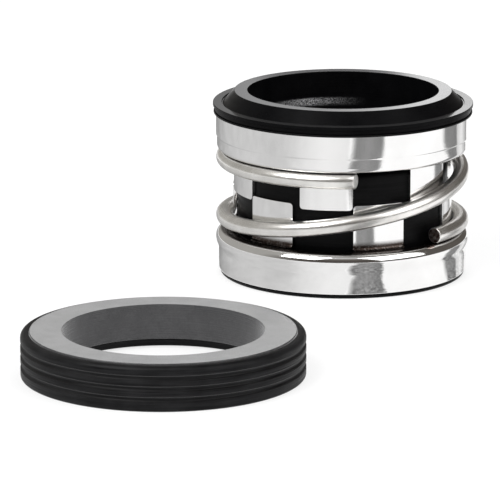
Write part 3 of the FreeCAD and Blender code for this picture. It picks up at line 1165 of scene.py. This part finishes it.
@dataclass
class CoilSpring:
    """Round wire coiled between the two end walls, closed at both ends.

    Args:
        radius: distance of the wire's centre from the axle, in millimetres.
        wire: the wire's own radius.
        top: height of the front turn's centre.
        foot: height of the rear turn's centre.
        start: angle of the front end, from the right towards the camera.
        end: angle of the rear end, after nearly two turns.
        opening: angles between which the coil leaves the front turn and comes down.
        closing: angles between which it settles on the rear turn.
        closing_share: how much of the way down is left for that.
        step: angle from section to section.
        sides: how many sides a section has.
        front_round: how far the front cut is rounded.
        rear_round: how far the rear cut is rounded.
        slant: how far the front cut turns outwards, in degrees.
        cut_reach: what counts as near a cut, as a share of the wire's radius.
        cut_middle: what counts as the middle of a cut, as a share of the wire's radius.
    """

    radius: float = 26.25
    wire: float = 1.75
    top: float = 25.9
    foot: float = 11.85
    start: float = 85.0
    end: float = 761.5
    opening: Span = (290.0, 531.0)
    closing: Span = (476.0, 740.0)
    closing_share: float = 0.08
    step: float = 4.0
    sides: int = 24
    front_round: float = 0.3
    rear_round: float = 0.2
    slant: float = 26.0
    cut_reach: float = 1.1
    cut_middle: float = 0.2

    def share(self, turned: float) -> float:
        """How far down the coil the wire is.

        Args:
            turned: angle along the coil, in degrees.

        Returns:
            The share, from 0 at the front turn to 1 at the rear one.
        """

        def ramp(ends: Span) -> float:
            """Rises smoothly between two angles."""
            part = min(max((turned - ends[0]) / (ends[1] - ends[0]), 0.0), 1.0)
            return part * part * (3.0 - 2.0 * part)

        opened = ramp(self.opening)
        return opened + self.closing_share * (ramp(self.closing) - opened)

    def centre(self, turned: float) -> Vector:
        """Where the wire's centre is.

        Args:
            turned: angle along the coil, in degrees.

        Returns:
            The centre, in metres.
        """
        angle = math.radians(turned)
        height = self.top - (self.top - self.foot) * self.share(turned)
        return Vector((self.radius * math.cos(angle), -self.radius * math.sin(angle), height)) * MM

    def slope(self, turned: float) -> float:
        """How steeply the wire climbs.

        Args:
            turned: angle along the coil, in degrees.

        Returns:
            The slope, in radians.
        """
        near = 0.5
        rise = (self.share(turned - near) - self.share(turned + near)) * (self.top - self.foot)
        return math.atan2(-rise, math.radians(2 * near) * self.radius)

    def build(self, finish: Material, front: Material, rear: Material) -> Piece:
        """Extrudes a round section round the axle step by step, square to the wire.

        Args:
            finish: the wire's finish.
            front: the finish of its front cut face.
            rear: the finish of its rear cut face.

        Returns:
            The finished piece between both bodies.
        """
        Bench.clear()
        bpy.ops.mesh.primitive_circle_add(
            vertices=self.sides, radius=self.wire * MM, fill_type="NGON", rotation=(math.pi / 2, 0.0, 0.0)
        )
        piece = bpy.context.object
        piece.name = piece.data.name = "coil_spring"
        bpy.ops.object.transform_apply(location=True, rotation=True, scale=True)
        bpy.ops.object.mode_set(mode="EDIT")
        bpy.ops.transform.translate(value=(self.radius * MM, 0.0, self.top * MM))
        Bench.swing(self.start)
        steps = round((self.end - self.start) / self.step)
        stations = [self.start + (self.end - self.start) * place / steps for place in range(steps + 1)]
        for before, after in zip(stations, stations[1:]):
            bpy.ops.mesh.extrude_region_move()
            Bench.swing(-before)
            middle = (self.radius * MM, 0.0, self.centre(before).z)
            lean = self.slope(before) - self.slope(after)
            bpy.ops.transform.rotate(value=lean, orient_axis="X", center_override=middle)
            bpy.ops.transform.translate(value=(0.0, 0.0, self.centre(after).z - middle[2]))
            Bench.swing(after)
        Bench.close(piece)
        self.unwrap(piece)
        self.break_ends(piece)
        self.slant_front(piece)
        for material in (finish, front, rear):
            piece.data.materials.append(material)
        self.dress_ends(piece)
        Bench.smooth(piece, 50.0)
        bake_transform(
            piece, Side.DRIVE.value, Side.FACE.value, (0.0, 0.0, self.foot * MM), (0.0, 0.0, self.top * MM)
        )
        self.share_out(piece)
        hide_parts("spring")
        return piece

    def turned(self, place: Vector) -> float:
        """How far along the coil a point of the wire lies.

        Args:
            place: the point, in metres.

        Returns:
            The angle in degrees of the turn whose wire passes nearest.
        """
        over = self.step / 2
        first = -math.degrees(math.atan2(place.y, place.x)) % FULL_TURN
        turns = [first + FULL_TURN * turn for turn in range(3)]
        inside = [turn for turn in turns if self.start - over < turn < self.end + over]
        return min(inside, key=lambda turn: (self.centre(turn) - place).length)

    def unwrap(self, piece: Piece) -> None:
        """Lays the wire's length along U, in metres, and its girth along V.

        Args:
            piece: the wire in object mode.
        """
        mesh = piece.data
        chart = mesh.uv_layers.new(name="UVMap")
        places = {}
        for point in mesh.vertices:
            turned = self.turned(point.co)
            arm = point.co - self.centre(turned)
            out = arm.x * math.cos(math.radians(turned)) - arm.y * math.sin(math.radians(turned))
            length = math.radians(turned) * self.radius * MM
            places[point.index] = (length, math.atan2(arm.z, out) / math.tau % 1.0)
        for face in mesh.polygons:
            girths = [places[mesh.loops[loop].vertex_index][1] for loop in face.loop_indices]
            wraps = max(girths) - min(girths) > 0.5
            for loop in face.loop_indices:
                along, girth = places[mesh.loops[loop].vertex_index]
                chart.data[loop].uv = (along, girth + float(wraps and girth < 0.5))

    def break_ends(self, piece: Piece) -> None:
        """Rounds the front end and breaks the sharp edge of the rear one.

        Args:
            piece: the wire in object mode.
        """
        bpy.ops.object.mode_set(mode="EDIT")
        for end, size in ((self.start, self.front_round), (self.end, self.rear_round)):
            middle = self.centre(end)
            ahead = Vector((-math.sin(math.radians(end)), -math.cos(math.radians(end)), 0.0))
            reach = self.cut_reach * self.wire * MM
            Bench.pick(
                piece,
                lambda point: abs((point - middle).dot(ahead)) < NEAR and (point - middle).length < reach,
            )
            bpy.ops.mesh.bevel(offset=size * MM, segments=4, affect="EDGES")
        Bench.close(piece)

    def slant_front(self, piece: Piece) -> None:
        """Turns the front cut face outwards, as the cutter leaves it.

        Args:
            piece: the wire in object mode.
        """
        middle = self.centre(self.start)
        bpy.ops.object.mode_set(mode="EDIT")
        Bench.pick(piece, lambda point: (point - middle).length < self.cut_reach * self.wire * MM)
        bpy.ops.transform.rotate(value=math.radians(self.slant), orient_axis="Z", center_override=middle)
        bpy.ops.object.mode_set(mode="OBJECT")

    def dress_ends(self, piece: Piece) -> None:
        """Gives both cut faces their own finishes.

        Args:
            piece: the wire in object mode, with its three materials.
        """
        for face in piece.data.polygons:
            for index, end in enumerate((self.start, self.end), start=1):
                if (face.center - self.centre(end)).length < self.cut_middle * self.wire * MM:
                    face.material_index = index

    def share_out(self, piece: Piece) -> None:
        """Lets every section move as one, by how far down the coil it lies.

        Args:
            piece: the wire, already blended between both bodies.
        """
        weights = piece.data.attributes["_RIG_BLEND"]
        for point in piece.data.vertices:
            weights.data[point.index].value = 1.0 - self.share(self.turned(point.co))


# The stationary seat

SEAT_CENTRE = (-38.0, -89.0)


@dataclass
class SeatDisc:
    """The hard stationary ring, bedded in its cup, with its lapped face up; sizes in millimetres."""

    centre: Spot = SEAT_CENTRE
    bore: float = 20.5
    rim: float = 27.1
    foot: float = 2.0
    top: float = 9.4

    def build(self) -> Piece:
        """Makes the ring on the drive side.

        Returns:
            The finished piece.
        """
        piece = Bench.turned(
            "seat_disc",
            [
                Corner(self.bore, self.foot, 0.2),
                Corner(self.rim, self.foot, 0.2),
                Corner(self.rim, self.top, 0.25),
                Corner(self.bore, self.top, 0.12),
            ],
        )
        Bench.move(piece, self.centre)
        ground = FaceCeramic(
            "ground_ceramic",
            self.centre,
            dark=(0.035, 0.035, 0.037),
            light=(0.07, 0.07, 0.072),
            roughness=(0.2, 0.32),
            gloss=0.4,
        )
        lapped = FaceCeramic(
            "lapped_ceramic",
            self.centre,
            dark=(0.24, 0.242, 0.245),
            light=(0.33, 0.332, 0.335),
            roughness=(0.16, 0.26),
            gloss=0.5,
            index=1.7,
            grain=0.0012,
            turned=0.0003,
        )
        for finish in (ground, lapped):
            piece.data.materials.append(finish.material())
        for face in piece.data.polygons:
            face.material_index = int(face.normal.z > FACING_UP)
        Bench.smooth(piece)
        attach(piece, Side.DRIVE.value)
        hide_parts("seat_ring")
        piece.visible_glossy = False
        return piece


@dataclass
class SeatCup:
    """The rubber cup that grips the seat's housing with its ribs; sizes in millimetres."""

    centre: Spot = SEAT_CENTRE
    bore: float = 22.5
    rim: float = 28.9
    inner: float = 27.15
    floor: float = 1.95
    top: float = 9.1
    groove: float = 0.55
    grooves: tuple[float, ...] = (2.5, 4.65, 6.8)
    lip_round: float = 0.07
    arc_steps: int = 8

    def groove_corners(self, height: float) -> list[Corner]:
        """A half-round groove in the rim.

        Args:
            height: height of its middle, in millimetres.

        Returns:
            Its corners, from its lower lip to its upper lip.
        """
        corners = []
        for place in range(self.arc_steps + 1):
            turned = math.pi * place / self.arc_steps
            lip = place in (0, self.arc_steps)
            corners.append(
                Corner(
                    self.rim - self.groove * math.sin(turned),
                    height - self.groove * math.cos(turned),
                    self.lip_round if lip else 0.0,
                    2,
                )
            )
        return corners

    def build(self) -> Piece:
        """Makes the cup on the drive side.

        Returns:
            The finished piece.
        """
        outline = [Corner(self.bore, 0.0, 0.2), Corner(self.rim, 0.0, 0.5)]
        for height in self.grooves:
            outline += self.groove_corners(height)
        outline += [
            Corner(self.rim, self.top, 1.1, 8),
            Corner(self.inner, self.top, 0.15),
            Corner(self.inner, self.floor, 0.05),
            Corner(self.bore, self.floor, 0.2),
        ]
        piece = Bench.turned("seat_cup", outline)
        Bench.move(piece, self.centre)
        Bench.smooth(piece)
        rubber = MouldedRubber(
            "cup_rubber",
            self.centre,
            black=(0.0025, 0.0025, 0.003),
            bloom=(0.015, 0.015, 0.016),
            roughness=(0.34, 0.56),
            gloss=0.14,
            streak_depth=0.12,
        )
        piece.data.materials.append(rubber.material())
        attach(piece, Side.DRIVE.value)
        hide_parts("seat_gasket")
        piece.visible_glossy = False
        return piece


# The studio

# Rows of both cards on the right: distance from the shell, start, meeting angle and end
RIGHT_ROWS = (
    (2.0, 57.0, 67.5, 81.0),
    (20.0, 53.5, 66.0, 80.0),
    (34.0, 55.0, 67.0, 80.0),
    (70.0, 55.0, 66.0, 79.0),
    (120.0, 56.0, 64.5, 76.0),
    (152.0, 50.0, 62.7, 75.0),
    (220.0, 50.0, 62.7, 75.0),
)


@dataclass(frozen=True)
class Patch:
    """A card on the floor, laid so that an upright shell mirrors it between two angles.

    Args:
        name: name of the card.
        rows: lines across it, each its distance from the shell in millimetres and the two
            angles on the shell, from the camera's side towards the right, between which it shows.
        greys: its tone from its first to its last angle, as share and grey.
        ragged: how far mottling breaks up its edges.
        speckle: how fine its mottling is, per metre.
        columns: how many faces it has across.
        strength: how bright its lightest grey is.
        grain: how strongly its greys are speckled.
        shell: distance of the shell's wall from the axle, in millimetres.
        lift: height of the card above the floor, in millimetres.
    """

    name: str
    rows: tuple[tuple[float, float, float], ...]
    greys: tuple[Span, ...]
    ragged: float = 0.2
    speckle: float = 900.0
    columns: int = 3
    strength: float = 1.12
    grain: float = 0.7
    shell: float = 28.0
    lift: float = 0.3

    def place(self, angle: float, ahead: float) -> Vector:
        """Finds the floor point that the shell mirrors.

        Args:
            angle: angle on the shell, in degrees.
            ahead: distance from the shell, in millimetres.

        Returns:
            The point, in metres.
        """
        turned = math.radians(angle)
        foot = Vector((math.sin(turned), -math.cos(turned), 0.0)) * self.shell
        line = Vector((math.sin(2 * turned), -math.cos(2 * turned), 0.0)) * ahead
        return (foot + line + Vector((0.0, 0.0, self.lift))) * MM


@dataclass(frozen=True)
class Lamp:
    """A soft square lamp.

    Args:
        name: name of the lamp.
        place: where it hangs, in metres.
        size: its side, in metres.
        watts: its power.
        mirrored: whether metal shows it.
    """

    name: str
    place: tuple[float, float, float]
    size: float
    watts: float
    mirrored: bool = True


@dataclass
class Studio:
    """Pale floor, soft lamps, low reflector cards and the camera.

    Args:
        lens: focal length of the camera, in millimetres.
        elevation: angle at which it looks down, in degrees.
        distance: its distance from its aim, in metres.
        aim: the point that it looks at, in millimetres.
        look: the point that the lamps look at, in metres.
        lamps: the lamps.
        floor_grey: colour of the floor.
        glow: how much of the floor's own light the camera and metal see.
        level: strength of the air's light on dull surfaces.
        screen_edges: left, right, lower and upper edge of the card behind, in millimetres.
        screen_behind: how far behind the head it stands.
        screen_greys: its tone from left to right, as share and grey.
        screen_strength: how bright its lightest grey is.
        screen_gap: middle, half width and half height of its dark gap.
        sky: what metal mirrors ahead, from the horizon to overhead, as share and colour.
        left_sky: what it mirrors on the left, beside and behind the head.
        right_sky: what it mirrors on the right, beside and behind the head.
        sides_blend: from where to where along X the left gives way to the right.
        front_reach: from where to where along Y the sky ahead gives way to both sides.
        patches: the cards on the floor.
    """

    lens: float = 306.0
    elevation: float = 13.5
    distance: float = 0.9
    aim: tuple[float, float, float] = (-20.5, -44.0, 15.0)
    look: tuple[float, float, float] = (0.0, 0.0, 0.02)
    lamps: tuple[Lamp, ...] = (
        Lamp("key_lamp", (-0.5, -0.5, 0.8), size=0.6, watts=7.0),
        Lamp("fill_lamp", (0.6, -0.4, 0.6), size=0.8, watts=4.0),
        Lamp("back_lamp", (0.1, 0.7, 0.7), size=0.8, watts=5.0, mirrored=False),
    )
    floor_grey: Colour = (0.9, 0.9, 0.9)
    glow: float = 0.7
    level: float = 0.6
    screen_edges: tuple[float, float, float, float] = (-60.0, 60.0, 62.0, 90.0)
    screen_behind: float = 150.0
    screen_greys: tuple[Span, ...] = ((0.0, 0.15), (0.3, 0.24), (0.5, 0.5), (0.7, 0.95), (1.0, 1.0))
    screen_strength: float = 1.5
    screen_gap: tuple[float, float, float] = (60.0, 20.0, 13.5)
    sky: tuple[tuple[float, Colour], ...] = (
        (0.0, (0.9, 0.9, 0.9)),
        (0.015, (0.075, 0.066, 0.059)),
        (0.5, (0.09, 0.08, 0.072)),
        (0.72, (0.22, 0.2, 0.185)),
        (0.86, (0.8, 0.8, 0.8)),
        (1.0, (0.8, 0.8, 0.8)),
    )
    left_sky: Colour = (0.38, 0.37, 0.35)
    right_sky: Colour = (0.1, 0.09, 0.08)
    sides_blend: Span = (-0.4, 0.4)
    front_reach: Span = (-0.75, -0.15)
    patches: tuple[Patch, ...] = (
        Patch(
            "front_patch",
            (
                (2.0, 0.0, 21.0),
                (14.0, 1.7, 18.3),
                (26.0, 5.5, 18.5),
                (31.0, 0.5, 18.0),
                (45.0, 5.0, 17.0),
                (62.0, 5.5, 16.5),
                (115.0, 0.3, 16.8),
                (136.0, 1.8, 17.6),
                (158.0, 3.2, 18.6),
                (220.0, 3.2, 18.6),
            ),
            ((0.0, 0.95), (0.08, 0.5), (0.16, 0.24), (0.5, 0.28), (0.9, 0.22), (0.95, 0.4), (1.0, 0.95)),
        ),
        Patch(
            "side_patch",
            tuple((ahead, start, middle) for ahead, start, middle, _ in RIGHT_ROWS),
            ((0.0, 0.95), (0.2, 0.24), (0.95, 0.2), (1.0, 0.5)),
            ragged=0.15,
        ),
        Patch(
            "edge_patch",
            tuple((ahead, middle, end) for ahead, _, middle, end in RIGHT_ROWS),
            ((0.0, 0.6), (0.4, 0.8), (0.75, 0.5), (0.94, 0.2), (1.0, 0.95)),
            ragged=0.03,
        ),
        Patch(
            "left_patch",
            (
                (2.0, -89.0, -0.5),
                (26.0, -89.0, 4.5),
                (45.0, -89.0, 3.0),
                (120.0, -89.0, 1.0),
                (220.0, -89.0, 3.5),
            ),
            (
                (0.0, 0.26),
                (0.055, 0.33),
                (0.13, 0.42),
                (0.25, 0.57),
                (0.35, 0.62),
                (0.48, 0.66),
                (0.6, 0.63),
                (0.67, 0.66),
                (0.74, 0.79),
                (0.8, 0.88),
                (0.88, 0.95),
                (1.0, 0.9),
            ),
            ragged=0.03,
            speckle=60.0,
            columns=24,
            strength=1.0,
            grain=0.2,
        ),
    )

    def floor(self) -> Piece:
        """Lays a white floor that keeps a soft contact shadow.

        Returns:
            The floor.
        """
        Bench.clear()
        bpy.ops.mesh.primitive_plane_add(size=8.0)
        piece = bpy.context.object
        piece.name = "studio_floor"
        sheet = Sheet("studio_white")
        sheet.set(Base_Color=(*self.floor_grey, 1.0), Roughness=0.9)
        path = sheet.node("ShaderNodeLightPath")
        glow = sheet.node("ShaderNodeEmission")
        mix = sheet.node("ShaderNodeMixShader")
        seen = sheet.math("MAXIMUM", path.outputs["Is Camera Ray"], path.outputs["Is Glossy Ray"])
        sheet.join(sheet.math("MULTIPLY", seen, self.glow), mix.inputs[0])
        sheet.join(sheet.shader.outputs["BSDF"], mix.inputs[1])
        sheet.join(glow.outputs["Emission"], mix.inputs[2])
        sheet.join(mix.outputs["Shader"], sheet.output.inputs["Surface"])
        piece.data.materials.append(sheet.material)
        return piece

    def card(self, patch: Patch) -> Piece:
        """Lays a card on the floor that only mirrored rays see.

        Args:
            patch: where the card is mirrored and how it is shaded.

        Returns:
            The card.
        """
        Bench.clear()
        lines = len(patch.rows) - 1
        bpy.ops.mesh.primitive_grid_add(x_subdivisions=patch.columns, y_subdivisions=lines, size=MM)
        piece = bpy.context.object
        piece.name = patch.name
        bpy.ops.object.mode_set(mode="EDIT")
        for line, (ahead, start, end) in enumerate(patch.rows):
            for column in range(patch.columns + 1):
                corner = Vector((column / patch.columns - 0.5, line / lines - 0.5, 0.0)) * MM
                goal = patch.place(start + (end - start) * column / patch.columns, ahead)
                Bench.pick(piece, lambda point: (point - corner).length < MERGE)
                bpy.ops.transform.translate(value=goal - corner)
        Bench.close(piece)
        sheet = Sheet(patch.name)
        speckle = sheet.noise(sheet.place(HEAD_CENTRE), patch.speckle, rough=0.7)
        across, *_ = sheet.axes(sheet.node("ShaderNodeTexCoord").outputs["UV"])
        shift = sheet.math("MULTIPLY", sheet.math("SUBTRACT", speckle, 0.5), patch.ragged)
        tone = sheet.greys(sheet.math("ADD", across, shift), patch.greys)
        middle = sheet.math("MULTIPLY", tone, sheet.math("SUBTRACT", 1.0, tone))
        grain = sheet.math("MULTIPLY", middle, sheet.span(speckle, (0.35, 0.65), (-patch.grain, patch.grain)))
        sheet.shine(sheet.math("ADD", tone, grain), patch.strength)
        piece.data.materials.append(sheet.material)
        return self.only_mirrored(piece)

    def only_mirrored(self, piece: Piece) -> Piece:
        """Hides a card from all but mirrored rays.

        Args:
            piece: the card.

        Returns:
            The same card.
        """
        piece.visible_camera = False
        piece.visible_diffuse = False
        piece.visible_shadow = False
        piece.visible_transmission = False
        return piece

    def screen(self) -> Piece:
        """Stands a card behind, dark to the left and with a dark gap, that lapped faces mirror.

        Returns:
            The card.
        """
        Bench.clear()
        bpy.ops.mesh.primitive_plane_add(size=MM)
        piece = bpy.context.object
        piece.name = "back_screen"
        bpy.ops.object.mode_set(mode="EDIT")
        left, right, low, high = self.screen_edges
        bpy.ops.transform.resize(value=(right - left, high - low, 1.0))
        bpy.ops.transform.rotate(value=math.pi / 2, orient_axis="X", center_override=ORIGIN)
        place = Vector(((left + right) / 2, self.screen_behind, (low + high) / 2)) * MM
        bpy.ops.transform.translate(value=place)
        bpy.ops.object.mode_set(mode="OBJECT")
        sheet = Sheet("screen_white")
        x, _, z, _ = sheet.polar(sheet.place(HEAD_CENTRE))
        middle, wide, tall = self.screen_gap
        across = sheet.math("DIVIDE", x, wide * MM)
        up = sheet.math("DIVIDE", sheet.math("SUBTRACT", z, middle * MM), tall * MM)
        squares = (sheet.math("POWER", side, 2.0) for side in (across, up))
        reach = sheet.math("SQRT", sheet.math("ADD", *squares))
        tone = sheet.greys(sheet.span(x, (left * MM, right * MM), RISING), self.screen_greys)
        gap = sheet.span(reach, (0.9, 1.2), (0.03, 1.0))
        sheet.shine(sheet.math("MULTIPLY", tone, gap), self.screen_strength)
        piece.data.materials.append(sheet.material)
        return self.only_mirrored(piece)

    def hang(self, lamp: Lamp) -> None:
        """Hangs a lamp so that it looks at the head.

        Args:
            lamp: the lamp.
        """
        data = bpy.data.lights.new(lamp.name, "AREA")
        data.shape = "SQUARE"
        data.size = lamp.size
        data.energy = lamp.watts
        piece = bpy.data.objects.new(lamp.name, data)
        piece.location = lamp.place
        piece.rotation_euler = (Vector(self.look) - Vector(lamp.place)).to_track_quat("-Z", "Y").to_euler()
        piece.visible_glossy = lamp.mirrored
        bpy.context.scene.collection.objects.link(piece)

    def camera(self) -> None:
        """Sets the camera at the photograph's angle."""
        data = bpy.data.cameras.new("studio_camera")
        data.lens = self.lens
        camera = bpy.data.objects.new("studio_camera", data)
        lean = math.radians(self.elevation)
        back = Vector((0.0, -math.cos(lean), math.sin(lean)))
        camera.location = Vector(self.aim) * MM + back * self.distance
        camera.rotation_mode = "QUATERNION"
        camera.rotation_quaternion = (-back).to_track_quat("-Z", "Y")
        data.clip_start, data.clip_end = 0.01, 20.0
        bpy.context.scene.collection.objects.link(camera)
        bpy.context.scene.camera = camera

    def build(self) -> None:
        """Sets up the whole studio."""
        stage = [self.floor(), self.screen()] + [self.card(patch) for patch in self.patches]
        for lamp in self.lamps:
            self.hang(lamp)
        self.camera()
        scene = bpy.context.scene
        scene.view_settings.view_transform = "Standard"
        scene.world = self.air()

    def air(self) -> bpy.types.World:
        """Fills the studio with light, white to the camera.

        Metal mirrors a dark low band ahead and plain greys on both sides.

        Returns:
            The world.
        """
        world = bpy.data.worlds.new("studio_air")
        world.use_nodes = True
        board = Board(world.node_tree)
        ray = board.node("ShaderNodeTexCoord").outputs["Generated"]
        aside, behind, up = board.axes(ray)
        sides = board.mix(board.span(aside, self.sides_blend, RISING), self.left_sky, self.right_sky)
        ahead = board.ramp(up, self.sky)
        around = board.mix(board.span(behind, self.front_reach, RISING), ahead, sides)
        path = board.node("ShaderNodeLightPath")
        mirrored = board.mix(path.outputs["Is Glossy Ray"], (self.level,) * 3, around)
        seen = board.mix(path.outputs["Is Camera Ray"], mirrored, WHITE)
        light = board.node("ShaderNodeBackground")
        output = board.node("ShaderNodeOutputWorld")
        board.join(seen, light.inputs["Color"])
        board.join(light.outputs["Background"], output.inputs["Surface"])
        return world


def main() -> None:
    """Builds every piece in order, then the studio."""
    logging.basicConfig(level=logging.INFO, format="%(name)s: %(message)s")
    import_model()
    steel = PolishedSteel().material()
    rubber = MouldedRubber("bellows_rubber", HEAD_CENTRE, bloom=(0.006, 0.006, 0.0063)).material()
    bright_cut = CutSteel("bright_cut", (0.84, 0.83, 0.81), (0.97, 0.97, 0.96), roughness=(0.5, 0.7))
    pieces = [
        NoseRing().build(),
        FrontShell().build(steel),
        RearShell().build(steel),
        RubberBellows().build(rubber),
        CoilSpring().build(SpringWire().material(), bright_cut.material(), CutSteel().material()),
        SeatDisc().build(),
        SeatCup().build(),
    ]
    for piece in pieces:
        log.info("%s: %d faces", piece.name, len(piece.data.polygons))
    Studio().build()


if __name__ == "__main__":
    main()
